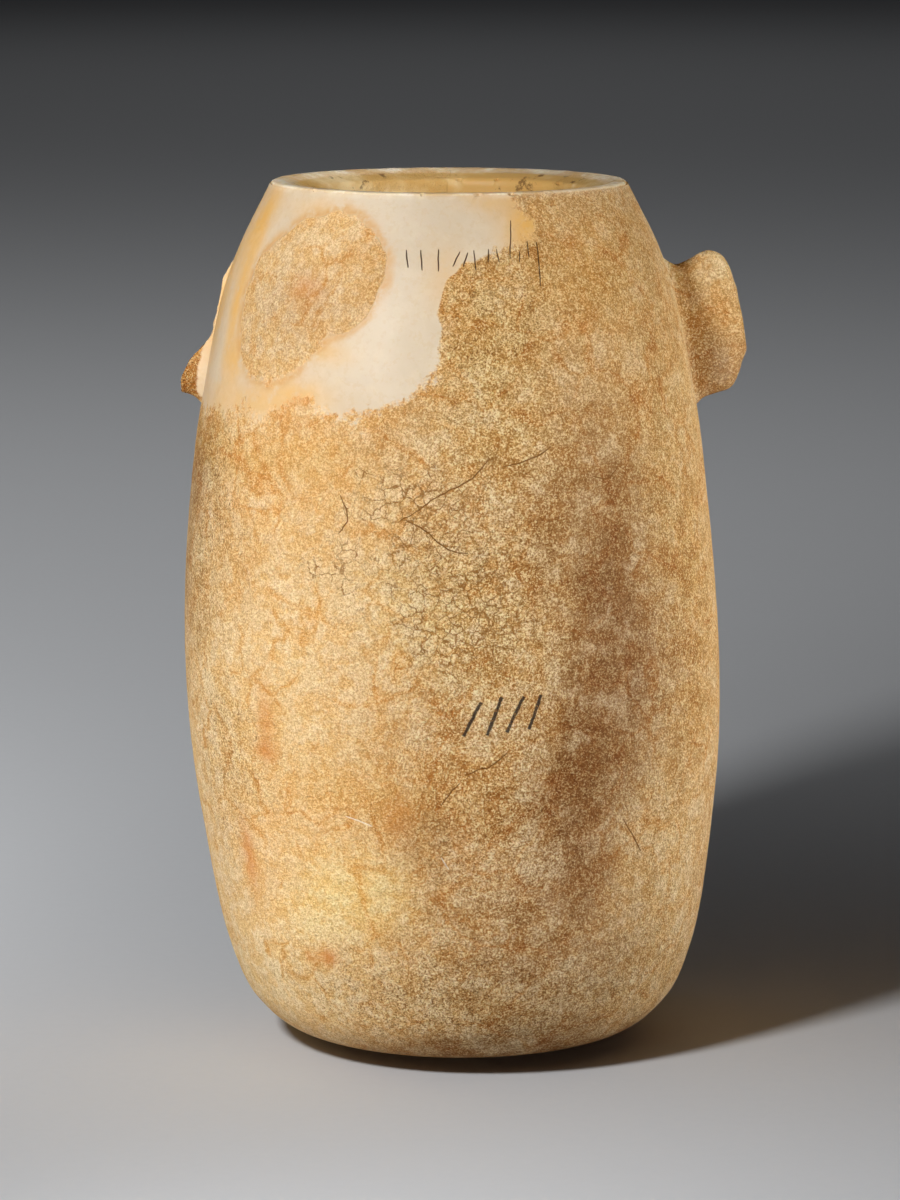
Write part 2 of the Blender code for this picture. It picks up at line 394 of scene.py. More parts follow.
def add_groove(bm, path, width, depth, wobble):
    """Adds the V-shaped tool of one groove.  The path is (angle round, height) in SI units."""
    stations = []
    count = len(path) - 1
    for i, (turn, height) in enumerate(path):
        before, after = path[max(i - 1, 0)], path[min(i + 1, count)]
        point, normal = on_wall(turn, height)
        way = (on_wall(*after)[0] - on_wall(*before)[0]).normalized()
        side = normal.cross(way).normalized()
        # The path's own start and width make each groove wander in its own way.
        shift = wobble * MM * noise.noise(Vector((i * 0.45, path[0][1] / MM, path[0][0] * 50)))
        fade = GROOVE_END + (1 - GROOVE_END) * min(1, GROOVE_TAPER * min(i, count - i) / count)
        uneven = GROOVE_UNEVEN * noise.noise(Vector((i * 0.7, width, path[0][1] / MM)))
        deep = depth * MM * fade * (1 + uneven)
        spread = width * MM / 2 * fade * (deep + GROOVE_CLEAR * MM) / deep
        base = point + side * shift
        lips = base + normal * GROOVE_CLEAR * MM
        stations.append((lips + side * spread, lips - side * spread, base - normal * deep))
    ring = [bm.verts.new(corner) for corner in stations[0]]
    face = bm.faces.new(ring)
    for corners in stations[1:]:
        # The edges go in too, so that no old face is left standing inside the groove.
        pulled = bmesh.ops.extrude_face_region(bm, geom=[face, *face.edges])["geom"]
        face = next(item for item in pulled if isinstance(item, bmesh.types.BMFace))
        old = [vert.co.copy() for vert in ring]
        fresh = [min(face.verts, key=lambda v, c=co: (v.co - c).length) for co in old]
        for vert, corner in zip(fresh, corners):
            vert.co = corner
        ring = fresh
    return [station[2] for station in stations]


def cut_path(along, rise, lean, length):
    """A straight stroke of the row as (angle round, height)."""
    height = (CUT_ROW_HEIGHT + rise) * MM
    radius = float(outer_radius(height))
    half = length * MM / 2
    across, up = math.sin(math.radians(lean)) * half, math.cos(math.radians(lean)) * half
    count = max(4, round(length / GROOVE_STEP))
    steps = [2 * i / count - 1 for i in range(count + 1)]
    return [((along * MM + across * t) / radius, height + up * t) for t in steps]


def crack_path(points):
    """A crack's path through its points, as (angle round, height)."""
    flat = [(turn * DEGREE * float(outer_radius(height * MM)) / MM, height) for turn, height in points]
    path = smooth_curve(flat, GROOVE_STEP)
    return [(along * MM / float(outer_radius(up * MM)), up * MM) for along, up in path]


def grooves():
    """One tool that holds all the grooves, with each kind's bottom points."""
    bm = bmesh.new()
    bottoms = {"dirt": [], "crack": [], "fresh": []}
    for cut in CUT_ROW:
        bottoms["dirt"] += add_groove(bm, cut_path(*cut), CUT_WIDTH, CUT_DEPTH, CUT_WOBBLE)
    for crack in CRACKS:
        bottoms["crack"] += add_groove(bm, crack_path(crack), CRACK_WIDTH, CRACK_DEPTH, CRACK_WOBBLE)
    for scratch in SCRATCHES:
        bottoms["fresh"] += add_groove(
            bm, crack_path(scratch), SCRATCH_WIDTH, SCRATCH_DEPTH, CRACK_WOBBLE,
        )
    return bm, bottoms


def chips():
    """Small broken bits out of the rim's two edges: centres and sizes."""
    rng = np.random.default_rng(SEED)
    # Each edge's radius and height, just inside the stone, and the way out of it.
    outer = (RIM_RADIUS - 0.4 * MM, HEIGHT - 0.4 * MM, Vector((0.7, 0.7)))
    mouth = (MOUTH_RADIUS + 0.3 * MM, HEIGHT - LIP_DROP + 0.1 * MM, Vector((-0.5, 0.8)))
    made = []
    for (edge, top, way), count in (outer, OUTER_CHIPS), (mouth, MOUTH_CHIPS):
        for _ in range(count):
            turn, size = rng.uniform(-math.pi, math.pi), rng.uniform(*CHIP_SIZES) * MM
            away = way * size * rng.uniform(*CHIP_STAND_OFF)
            radius, height = edge + away.x, top + away.y
            x = float(lean_at(height)) + radius * math.sin(turn)
            centre = Vector((x, -radius * math.cos(turn), height))
            # Chips that run into each other can't be cut away with one tool.
            if all((centre - other).length > CHIP_GAP * (size + wide) for other, wide in made):
                made.append((centre, size))
    return made


def chip_tool(marks):
    """Little uneven stones that the chips are cut with."""
    bm = bmesh.new()
    for centre, size in marks:
        for vert in bmesh.ops.create_icosphere(bm, subdivisions=2, radius=size)["verts"]:
            place = centre + vert.co
            vert.co = centre + vert.co * (1 + CHIP_UNEVEN * noise.noise(place / (CHIP_LUMP * MM)))
    return bm


# ------------------------ assembly of the mesh

def carved_jar():
    """The jar's fine mesh before wear, with the groove bottoms and the chips that mark it."""
    jar = mesh_object("jar", turned_body())
    right_ear = mesh_object("right_ear", ear())
    left_ear = mesh_object("left_ear", ear())
    combine(left_ear, mesh_object("break", break_tool()), "DIFFERENCE")
    set_on_wall(right_ear, 1, RIGHT_EAR_TURN)
    set_on_wall(left_ear, -1, LEFT_EAR_TURN)
    combine(jar, right_ear, "UNION")
    combine(jar, left_ear, "UNION")
    groove_mesh, bottoms = grooves()
    combine(jar, mesh_object("grooves", groove_mesh), "DIFFERENCE")
    marks = chips()
    combine(jar, mesh_object("chips", chip_tool(marks)), "DIFFERENCE")
    return jar, bottoms, marks


# ------------------------ where the finishes lie

# Outlines and spots below are in degrees round from the front and millimetres up.
POLISHED = [
    (17, 288), (21, 279), (25.5, 273), (21, 267.5), (12, 264.5), (5, 261.5), (0, 256.5), (-2.5, 248),
    (-1.5, 239), (-3, 230), (-8, 222), (-14, 217), (-22, 214), (-28, 215), (-34, 219.5),
    (-40, 216.5), (-46, 213), (-56, 213), (-68, 211.5), (-82, 210.5), (-94, 213), (-103, 223),
    (-108, 240), (-102, 258), (-104, 272), (-99, 288),
]
ISLAND = [
    (-63, 249), (-60.5, 260), (-53, 268.5), (-45, 273), (-36, 275.5), (-28, 274.5), (-20.5, 269),
    (-16.5, 260), (-18.5, 249), (-23, 242), (-31, 237), (-37.5, 228.5), (-46, 222.5), (-55, 225.5),
    (-61, 236),
]
BACK_POLISHED = [
    (128, 288), (132, 270), (142, 260), (154, 264), (163, 257), (176, 261), (181, 272), (178, 288),
]
# Spots are (degrees round, height, half width in degrees, half height, strength).
# Brown stains with painted shade among them. The dark column about 30 degrees right of the front stands in
# for the shade where the key's light turns away. The band low on the foot makes it darker towards the
# floor, partly as painted shade where the jar meets it.
BROWN_AND_SHADE = [
    (36, 152, 11, 44, 0.9), (30, 114, 11, 28, 0.85), (26, 88, 12, 24, 0.85), (28, 62, 9, 16, 0.5),
    (31, 212, 9, 22, 0.2), (35, 190, 9, 22, 0.25), (21, 180, 8, 18, 0.3),
    (-74, 190, 8, 16, 0.45), (-82, 166, 7, 42, 0.5), (-9, 85, 8, 10, 0.35), (12, 40, 16, 20, 0.45),
    (22, 22, 26, 14, 0.4), (50, 4, 60, 10, 0.9), (15, 6, 26, 9, 0.6), (-30, 2, 60, 8, 0.7),
    (96, 208, 8, 8, 0.6), (-95, 218, 8, 7, 0.7), (118, 190, 16, 40, 0.7), (150, 90, 18, 34, 0.6),
    (-128, 120, 18, 45, 0.6), (-165, 190, 16, 26, 0.5), (180, 40, 24, 22, 0.5),
]
GOLDEN = [
    (6, 250, 14, 14, 0.6), (14, 228, 18, 18, 0.6), (-76, 200, 16, 10, 0.9), (-44, 115, 10, 24, 0.5),
    (-28, 98, 28, 14, 0.55), (-50, 198, 24, 9, 0.75), (-25, 198, 14, 9, 0.5), (60, 200, 22, 60, 0.75),
    (62, 130, 20, 40, 0.55), (4, 264, 12, 8, 0.3), (20, 98, 18, 8, 0.3), (-12, 94, 14, 10, 0.6),
    (40, 258, 30, 20, 0.75), (88, 236, 8, 22, 0.6), (105, 242, 14, 22, 0.6), (170, 142, 20, 40, 0.5),
    (-150, 62, 22, 30, 0.5), (-110, 192, 14, 26, 0.6), (-94, 226, 8, 20, 0.8),
]
# Pale stone. The spots low on the foot also stand in for light thrown up from the floor, as painted light.
PALE_AND_BOUNCE_LIGHT = [
    (0, 152, 14, 17, 0.95), (-8, 158, 12, 16, 0.9), (-45, 30, 45, 14, 0.8), (8, 236, 13, 22, 0.3),
    (-14, 189, 8, 10, 0.4), (-30, 170, 14, 20, 0.35), (-36, 138, 18, 26, 0.4),
    (-32, 112, 14, 16, 0.35), (55, 62, 16, 40, 0.45), (60, 196, 8, 20, 0.35), (12, 207, 10, 9, 0.45),
    (5, 132, 12, 8, 0.35), (-58, 112, 16, 40, 0.45), (-54, 32, 30, 20, 0.75), (20, 30, 50, 12, 0.4),
    (-72, 66, 18, 44, 0.8), (76, 216, 10, 20, 0.35), (-44, 250, 18, 22, 0.8), (92, 252, 10, 7, 0.8),
    (81, 232, 3, 26, 0.6), (140, 152, 14, 30, 0.5), (-170, 112, 18, 24, 0.5),
    (-120, 52, 22, 30, 0.5),
]
PINK = [
    (16, 68, 20, 16, 0.6), (48, 134, 12, 24, 0.7), (-42, 248, 18, 18, 0.75), (-70, 72, 14, 40, 0.4),
    (28, 38, 26, 14, 0.6), (-20, 32, 30, 10, 0.3), (80, 62, 10, 50, 0.4), (2, 120, 8, 8, 0.3),
    (92, 222, 9, 11, 0.8), (-140, 92, 22, 34, 0.5), (125, 102, 18, 34, 0.5),
]
GLOW = [
    (-27, 63, 11, 15, 1), (-36, 52, 12, 9, 0.55), (-18, 68, 8, 12, 0.6), (160, 207, 12, 16, 0.6),
    (9, 230, 14, 26, 0.35),
]
AMBER = [
    (-32.3, 41.5, 2.6, 3, 1), (-37.5, 39.5, 1.3, 1.3, 0.9), (-53.5, 71, 2.2, 12, 0.8),
    (-43, 117, 2.2, 11, 0.6), (-43, 107, 3, 3, 0.7), (-12, 90, 3, 8, 0.4), (-39, 252, 5, 4, 0.5),
    (-37, 219, 5, 3, 0.5), (100, 72, 3, 12, 0.7), (-155, 162, 3, 14, 0.6),
]
AMBER_SKIN = [
    (23, 272, 8, 12, 1), (12, 280, 8, 4, 0.5), (-71, 270, 8, 16, 0.95), (-67, 246, 3.6, 24, 0.9),
    (-62, 228, 5, 9, 0.8), (-84, 246, 9, 26, 0.9), (-50, 217, 14, 4, 0.5), (-38, 220, 9, 5, 0.7),
    (-60, 213, 26, 6, 0.5), (-90, 276, 10, 10, 0.6), (-31, 233, 7, 4, 0.5), (-44, 276, 14, 4, 0.35),
    (0, 256, 6, 10, 0.4), (150, 268, 8, 6, 0.7),
]
PITTED = [
    (-66, 182, 16, 26, 1), (-60, 110, 16, 30, 0.7), (-62, 74, 8, 18, 0.6), (8, 28, 60, 18, 0.9),
    (10, 82, 26, 30, 0.5), (-50, 238, 12, 12, 0.4), (40, 132, 30, 60, 0.35), (6, 172, 14, 16, 0.6),
    (8, 237, 22, 26, 0.6), (150, 132, 60, 90, 0.6), (-140, 132, 50, 90, 0.6),
]
# Where the crust's grain shows strongly.
COARSE = [
    (12, 150, 24, 170, 0.9), (12, 24, 55, 30, 0.6), (60, 150, 30, 170, 0.6), (-70, 165, 14, 50, 0.75),
    (-58, 100, 12, 22, 0.5), (180, 140, 70, 170, 0.6), (-125, 110, 30, 90, 0.6),
]
CRACKLED = [
    (2, 154, 16, 22, 1), (-8, 187, 14, 14, 0.9), (-28, 170, 14, 16, 0.5), (8, 202, 12, 10, 0.4),
    (12, 94, 12, 10, 0.4), (30, 52, 14, 16, 0.5), (-46, 114, 8, 10, 0.5), (165, 162, 20, 30, 0.8),
    (-130, 152, 20, 30, 0.7),
]
# Where the polished skin runs out gently instead of at a sharp edge.
SOFT_EDGE = [
    (-60, 211, 34, 9, 1), (-18, 212, 16, 9, 0.9), (-3, 224, 6, 10, 0.7), (-31, 233, 7, 6, 0.5),
    (20, 268, 9, 12, 1), (-50, 221, 12, 7, 0.7), (18, 274, 8, 8, 0.5),
]
DRIFT = 22                    # size of the wandering that bends the spots
DRIFT_TURN = 4.5              # how far it bends them, in degrees and millimetres
DRIFT_UP = 5
EDGE_LUMP = 5                 # size of the wandering that bends the outlines, and its reach
EDGE_DRIFT = 1.6
OUTLINE_STEP = 2.5
MM_PER_DEGREE = 1.36          # along the shoulder, where the outlines lie
CRISP, SOFT = 1.6, 7.0        # half widths of the polished skin's edge
HALO_AWAY, HALO_WIDTH = 0.9, 1.5  # the amber line just outside the island of crust

# Where one face of the jar passes into another, in millimetres out of the turned outside.
INNER_FADE = (-4, -1.5)       # from the mouth's faces to the outside
HOLLOW_FADE = (6, 9)          # from the lip to the hollow, inwards
EAR_FADE = (0.25, 1.6)
ROOT_SHADE_FADE = (4, 12)           # painted shade at the ear's root fades out over this
SCAR_FADE = (0.6, 4.6)        # the skin on the broken ear ends over this, uneven by SCAR_DRIFT
SCAR_LUMP, SCAR_DRIFT = 4, 2
RIM_FADE = (0.2 * MM, 1.5 * MM)  # down from the top
EAR_LOWEST = 190 * MM
# How far a groove's dirt or colour reaches from its bottom, and over what depth it comes in.
DIRT_REACH, DIRT_FADE = 0.48 * MM, (0.08, 0.3)
CRACK_REACH, CRACK_FADE = 0.8 * MM, (0.02, 0.12)
FRESH_REACH, FRESH_FADE = 0.5 * MM, (0.02, 0.1)
CHIP_REACH, CHIP_LOWEST = 1.6 * MM, 6 * MM  # chips show this far down from the top
NEAR_CORE = 0.35              # share of a mark's reach that it colours fully


def eased(value, low, high):
    """0 below low, 1 above high, and a smooth step between."""
    t = np.clip((value - low) / (high - low), 0, 1)
    return t * t * (3 - 2 * t)


def noise_at(points, size, shift=0.0):
    """Smooth noise from -1 to 1 at points in metres, with lumps of about size millimetres."""
    scale = 1 / (size * MM)
    return np.array([noise.noise(Vector(point * scale + shift)) for point in points])


def signed_distance(outline, along, up):
    """Distance to a closed outline, positive inside it."""
    nearest = np.full(len(along), np.inf)
    inside = np.zeros(len(along), bool)
    for (x0, y0), (x1, y1) in zip(outline, outline[1:] + outline[:1]):
        dx, dy = x1 - x0, y1 - y0
        t = np.clip(((along - x0) * dx + (up - y0) * dy) / (dx * dx + dy * dy), 0, 1)
        nearest = np.minimum(nearest, np.hypot(along - x0 - t * dx, up - y0 - t * dy))
        if dy:
            inside ^= ((y0 > up) != (y1 > up)) & (along < x0 + (up - y0) * dx / dy)
    return np.where(inside, nearest, -nearest)


def closed_outline(points):
    """A smooth closed outline in millimetres through points in degrees and millimetres."""
    flat = [(turn * MM_PER_DEGREE, up) for turn, up in points]
    path = smooth_curve(flat + flat[:1], OUTLINE_STEP)
    return [tuple(point) for point in path[:-1]]


def spots(marks, turn, up):
    """How strongly soft-edged spots mark each point, from 0 to 1."""
    clear = np.ones(len(turn))
    for where, height, wide, tall, strength in marks:
        away = (turn - where + 180) % 360 - 180
        clear *= 1 - strength * np.exp(-(away / wide) ** 2 - ((up - height) / tall) ** 2)
    return 1 - clear


class Surface:
    """Every vertex of the jar's mesh: its place, its way out and where it lies on the jar."""

    def __init__(self, mesh):
        self.mesh = mesh
        count = len(mesh.vertices)
        self.points = np.empty(count * 3)
        mesh.vertices.foreach_get("co", self.points)
        self.points = self.points.reshape(-1, 3)
        self.normals = np.empty(count * 3)
        mesh.vertex_normals.foreach_get("vector", self.normals)
        self.normals = self.normals.reshape(-1, 3)
        x = self.points[:, 0] - lean_at(self.points[:, 2])
        self.height = self.points[:, 2]
        self.round = np.arctan2(x, -self.points[:, 1])
        self.out = (np.hypot(x, self.points[:, 1]) - outer_radius(self.height)) / MM
        self.outside = eased(self.out, *INNER_FADE) * eased(HEIGHT - self.height, *RIM_FADE)
        self.on_ear = eased(self.out, *EAR_FADE) * (self.height > EAR_LOWEST)
        self.hollow = eased(-self.out, *HOLLOW_FADE)

    def skin(self):
        """Points of the plain wall that the vertices stand on, for noise that ignores grooves."""
        radius = outer_radius(self.height)
        x = lean_at(self.height) + radius * np.sin(self.round)
        return np.stack([x, -radius * np.cos(self.round), self.height], axis=1)

    def keep(self, name, values):
        """Writes one number for each vertex as a named attribute for the finish."""
        layer = self.mesh.attributes.new(name, "FLOAT", "POINT")
        layer.data.foreach_set("value", np.ascontiguousarray(values, dtype=np.float32))


def near(points, marks, reach):
    """1 at the marks, falling to 0 at their reach in metres."""
    tree = KDTree(len(marks))
    for i, mark in enumerate(marks):
        tree.insert(mark, i)
    tree.balance()
    away = np.array([tree.find(point)[2] for point in points])
    return 1 - eased(away, NEAR_CORE * reach, reach)


def finish_map(surface, bottoms, marks):
    """Works out where each finish lies, and keeps it on the mesh."""
    skin = surface.skin()
    turn = np.degrees(surface.round) + DRIFT_TURN * noise_at(skin, DRIFT)
    up = surface.height / MM + DRIFT_UP * noise_at(skin, DRIFT, 7.3)
    for name, marked in (
        ("brown_and_shade", BROWN_AND_SHADE), ("golden", GOLDEN), ("pale", PALE_AND_BOUNCE_LIGHT), ("pink", PINK), ("glow", GLOW),
        ("pitted", PITTED), ("crackled", CRACKLED), ("coarse", COARSE),
    ):
        surface.keep(name, spots(marked, turn, up))

    # The outlines and the small stains wander less than the large spots.
    turn = np.degrees(surface.round) + EDGE_DRIFT * noise_at(skin, EDGE_LUMP, 3.1) / MM_PER_DEGREE
    up = surface.height / MM + EDGE_DRIFT * noise_at(skin, EDGE_LUMP, 9.7)
    surface.keep("amber", spots(AMBER, turn, up))
    surface.keep("amber_skin", spots(AMBER_SKIN, turn, up))
    island, patch, back = (
        signed_distance(closed_outline(outline), turn * MM_PER_DEGREE, up)
        for outline in (ISLAND, POLISHED, BACK_POLISHED)
    )
    within = np.maximum(np.minimum(patch, -island), back)
    soft = spots(SOFT_EDGE, turn, up)
    surface.keep("soft", soft)
    width = CRISP + (SOFT - CRISP) * soft
    polished = eased(0.5 + within / (2 * width), 0, 1)
    scar_end = SCAR_FADE[1] + SCAR_DRIFT * noise_at(surface.points, SCAR_LUMP)
    polished *= 1 - eased(surface.out, SCAR_FADE[0], scar_end) * surface.on_ear
    surface.keep("polished", polished)
    surface.keep("halo", np.exp(-((island + HALO_AWAY) / HALO_WIDTH) ** 2))

    surface.keep("hollow", surface.hollow)
    surface.keep("lip", (1 - surface.outside) * (1 - surface.hollow) * (surface.height > HEIGHT / 2))
    # Painted shade on the ear, strongest at its root against the wall.
    surface.keep("root", surface.on_ear * (1 - eased(surface.out, *ROOT_SHADE_FADE)))
    for name, reach, fade in (
        ("dirt", DIRT_REACH, DIRT_FADE), ("crack", CRACK_REACH, CRACK_FADE),
        ("fresh", FRESH_REACH, FRESH_FADE),
    ):
        surface.keep(name, near(surface.points, bottoms[name], reach) * eased(-surface.out, *fade))
    broken = near(surface.points, [centre for centre, _ in marks], CHIP_REACH)
    surface.keep("broken", broken * (surface.height > HEIGHT - CHIP_LOWEST))
    return polished


def wear(surface, polished):
    """Moves the vertices: hand-cut waves, crust relief, the lower polished skin, worn ears."""
    skin, points = surface.skin(), surface.points
    crust = 1 - polished
    # Each noise has lumps of the given size in millimetres, and a shift that makes it another one.
    wave = 0.7 * noise_at(skin, 38) + 0.3 * noise_at(skin, 15, 4.0)
    relief = 0.6 * noise_at(skin, 7, 1.7) + 0.4 * noise_at(skin, 3.6, 5.5)
    inward = WAVE * (1 - wave) / 2 + CRUST_RELIEF * crust * (1 - relief) / 2 + CRUST_STEP * polished
    inward *= surface.outside * eased(surface.height, *FOOT_FADE)
    ear_relief = EAR_RELIEF * (1 + 0.6 * noise_at(points, 8) + noise_at(points, 3.4)) / 2
    hollow_wave = HOLLOW_WAVE * noise_at(points, 30, 2.2)
    lip = (1 - surface.outside) * (1 - surface.hollow) * eased(surface.height, *LIP_FADE)
    lip_wave = LIP_WAVE * (1 + noise_at(points, 6, 8.8))
    wall_way = np.stack([np.sin(surface.round), -np.cos(surface.round), np.zeros(len(skin))], axis=1)
    move = -wall_way * (inward * (1 - surface.on_ear))[:, None]
    along_normal = -surface.on_ear * ear_relief - surface.hollow * hollow_wave - lip * lip_wave
    move += surface.normals * along_normal[:, None]
    placed = np.clip(points + move * MM, np.array(LOW), np.array(HIGH))
    surface.mesh.vertices.foreach_set("co", placed.ravel())
    surface.mesh.update()


# ------------------------ shader tools

class Wire:
    """A node's output.  Arithmetic on it adds Math nodes."""

    def __init__(self, finish, socket):
        self.finish = finish
        self.socket = socket

    def math(self, operation, *values):
        return self.finish.node("ShaderNodeMath", {"operation": operation}, dict(enumerate(values)))

    def __add__(self, other):
        return self.math("ADD", self, other)

    def __sub__(self, other):
        return self.math("SUBTRACT", self, other)

    def __rsub__(self, other):
        return self.math("SUBTRACT", other, self)

    def __mul__(self, other):
        return self.math("MULTIPLY", self, other)

    def __abs__(self):
        return self.math("ABSOLUTE", self)

    def above(self, other):
        return self.math("MAXIMUM", self, other)

    __radd__ = __add__
    __rmul__ = __mul__


class Finish:
    """One material and the way to add nodes to it."""

    def __init__(self, name):
        self.material = bpy.data.materials.new(name)
        self.material.use_nodes = True
        self.tree = self.material.node_tree
        self.shader = self.tree.nodes["Principled BSDF"]

    def feed(self, socket, value):
        if isinstance(value, Wire):
            self.tree.links.new(value.socket, socket)
        else:
            socket.default_value = value

    def node(self, kind, settings=None, sockets=None, output=0):
        """Adds a node: its settings come first, then the values or links of its sockets."""
        made = self.tree.nodes.new(kind)
        for name, value in (settings or {}).items():
            setattr(made, name, value)
        for key, value in (sockets or {}).items():
            self.feed(made.inputs[key], value)
        return Wire(self, made.outputs[output])

    def layer(self, name):
        """An attribute of the mesh."""
        return self.node("ShaderNodeAttribute", {"attribute_name": name}, output="Fac")

    def ease(self, value, low, high):
        """0 at low, 1 at high, and a smooth step between."""
        return self.node(
            "ShaderNodeMapRange", {"interpolation_type": "SMOOTHSTEP"},
            {"Value": value, "From Min": low, "From Max": high},
        )

    def blend(self, colour, other, amount, way="MIX"):
        """One colour laid over another."""
        return self.node(
            "ShaderNodeMix", {"data_type": "RGBA", "blend_type": way},
            {0: amount, 6: colour, 7: other}, output=2,
        )

    def grain(self, place, size, detail=3.0, roughness=0.6):
        """Noise from 0 to 1 around 0.5, with lumps of about a size."""
        return self.node(
            "ShaderNodeTexNoise", None,
            {"Vector": place, "Scale": 1 / size, "Detail": detail, "Roughness": roughness},
        )

    def bent(self, place, size, amount):
        """The place shifted by noise with lumps of about a size, by half an amount at most."""
        drift = self.node(
            "ShaderNodeTexNoise", None, {"Vector": place, "Scale": 1 / size, "Detail": 2.0}, output="Color",
        )
        drift = self.node("ShaderNodeVectorMath", {"operation": "SUBTRACT"}, {0: drift, 1: (0.5, 0.5, 0.5)})
        drift = self.node("ShaderNodeVectorMath", {"operation": "SCALE"}, {0: drift, "Scale": amount})
        return self.node("ShaderNodeVectorMath", {"operation": "ADD"}, {0: place, 1: drift})

    def cells(self, place, size, output="Distance", feature="F1"):
        """Cells of about a size: the distance to a cell's point or edge, or its own colour."""
        return self.node(
            "ShaderNodeTexVoronoi", {"feature": feature}, {"Vector": place, "Scale": 1 / size},
            output=output,
        )


def tone(red, green, blue):
    """A colour given as it looks, from 0 to 255, as the shader's linear colour."""
    parts = [value / 255 for value in (red, green, blue)]
    return tuple(p / 12.92 if p <= 0.04045 else ((p + 0.055) / 1.055) ** 2.4 for p in parts) + (1.0,)


# ------------------------ stone finish

INK_HEIGHT = 122
# Plain brush ticks in ink: along from the front, up, half length and lean in degrees.
INK_TICKS = [(6, -0.6, 6.0, 27), (13, 0.2, 6.4, 21), (19.5, 0.6, 6.2, 26), (26, 1.0, 5.7, 20)]
INK_WIDTH = 0.55              # half width
INK_EDGE = 0.22
INK_LUMP, INK_WANDER = 2.5, 1.2  # size and reach of the brush's unevenness


def ink_marks(stone, place):
    """Where the brush ticks lie on the front."""
    height = INK_HEIGHT * MM
    lean, radius = float(lean_at(height)) / MM, float(outer_radius(height)) / MM
    split = stone.node("ShaderNodeSeparateXYZ", None, {0: place}).socket.node
    x, y, z = (Wire(stone, part) for part in split.outputs)
    along = x.math("ARCTAN2", x - lean, y * -1) * radius
    up = z - INK_HEIGHT
    wander = (stone.grain(place, INK_LUMP) - 0.5) * INK_WANDER
    ink = None
    for start, rise, half, slant in INK_TICKS:
        cos, sin = math.cos(math.radians(slant)), math.sin(math.radians(slant))
        off = (along - start) * cos - (up - rise) * sin + wander
        down = (along - start) * sin + (up - rise) * cos
        tick = stone.ease(abs(off), INK_WIDTH + INK_EDGE, INK_WIDTH - INK_EDGE)
        tick = tick * stone.ease(abs(down), half + INK_EDGE, half - INK_EDGE)
        ink = tick if ink is None else ink.above(tick)
    return ink


